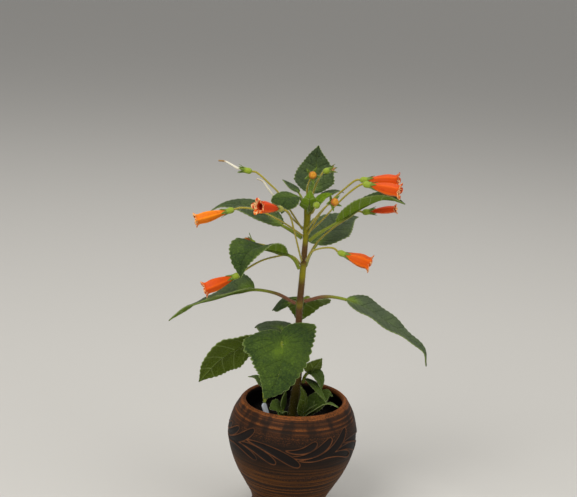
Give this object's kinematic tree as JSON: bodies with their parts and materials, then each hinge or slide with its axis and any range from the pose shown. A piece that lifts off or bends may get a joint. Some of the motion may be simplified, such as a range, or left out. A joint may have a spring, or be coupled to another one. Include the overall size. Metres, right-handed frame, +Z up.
{
  "type": "potted kohleria",
  "caption": "Kohleria in flower in a carved clay pot: upright stem, toothed leaves, tubular red and orange blooms, basal shoots, soil and a blank plant label.",
  "frame": {"origin": "centre of the pot's underside", "axes": "+Z up along the stem, -Y towards the viewer's side with the big cordate leaf, +X to the right seen from there"},
  "size_m": [0.1902, 0.1004, 0.2781],
  "materials": {
    "clay": "smoked, matte with worn ridges",
    "soil": "matte, damp",
    "label": "satin",
    "stem": "matte, hairy",
    "leaf": "matte, hairy",
    "young_leaf": "matte, hairy",
    "calyx": "matte, hairy",
    "corolla": "satin, hairy",
    "corolla_orange": "satin, hairy",
    "corolla_red": "satin, hairy",
    "bud": "satin, hairy",
    "style": "satin"
  },
  "bodies": {
    "root": {"pot": "clay", "main_stem": "stem", "plant_label": "label", "leaf_front_cordate": "leaf", "leaf_lower_left": "leaf", "leaf_lower_back": "leaf", "leaf_middle_left": "leaf", "leaf_middle_right": "leaf", "leaf_middle_back": "leaf", "leaf_middle_back_left": "leaf", "leaf_upper_middle_left": "leaf", "leaf_upper_middle_right": "leaf", "leaf_upper_left": "leaf", "leaf_upper_right": "leaf", "leaf_crown_back": "leaf", "leaf_crown_front_left": "leaf", "leaf_crown_left": "leaf", "leaf_crown_right": "leaf", "leaf_crown_young_upright": "young_leaf", "leaf_crown_young_right": "young_leaf", "shoot_right": "young_leaf", "shoot_front": "young_leaf", "shoot_left": "young_leaf", "shoot_back_left": "young_leaf", "soil": "soil", "bloom_right_upper_calyx": "calyx", "bloom_right_upper_corolla": "corolla", "bloom_right_lower_calyx": "calyx", "bloom_right_lower_corolla": "corolla", "bloom_left_calyx": "calyx", "bloom_left_corolla": "corolla_orange", "bloom_front_left_calyx": "calyx", "bloom_front_left_corolla": "corolla_red", "bloom_right_slim_calyx": "calyx", "bloom_right_slim_corolla": "corolla_red", "bloom_right_low_calyx": "calyx", "bloom_right_low_corolla": "corolla_orange", "bloom_left_low_calyx": "calyx", "bloom_left_low_corolla": "corolla", "bud_crown_calyx": "calyx", "bud_crown": "bud", "bud_right_calyx": "calyx", "bud_right": "bud", "bud_left_back_calyx": "calyx", "bud_left_back": "bud", "fruit_left_calyx": "calyx", "fruit_left_style": "style", "fruit_left_inner_calyx": "calyx", "fruit_left_inner_style": "style", "fruit_crown_calyx": "calyx", "bud_green": "calyx"}
  },
  "joints": []
}
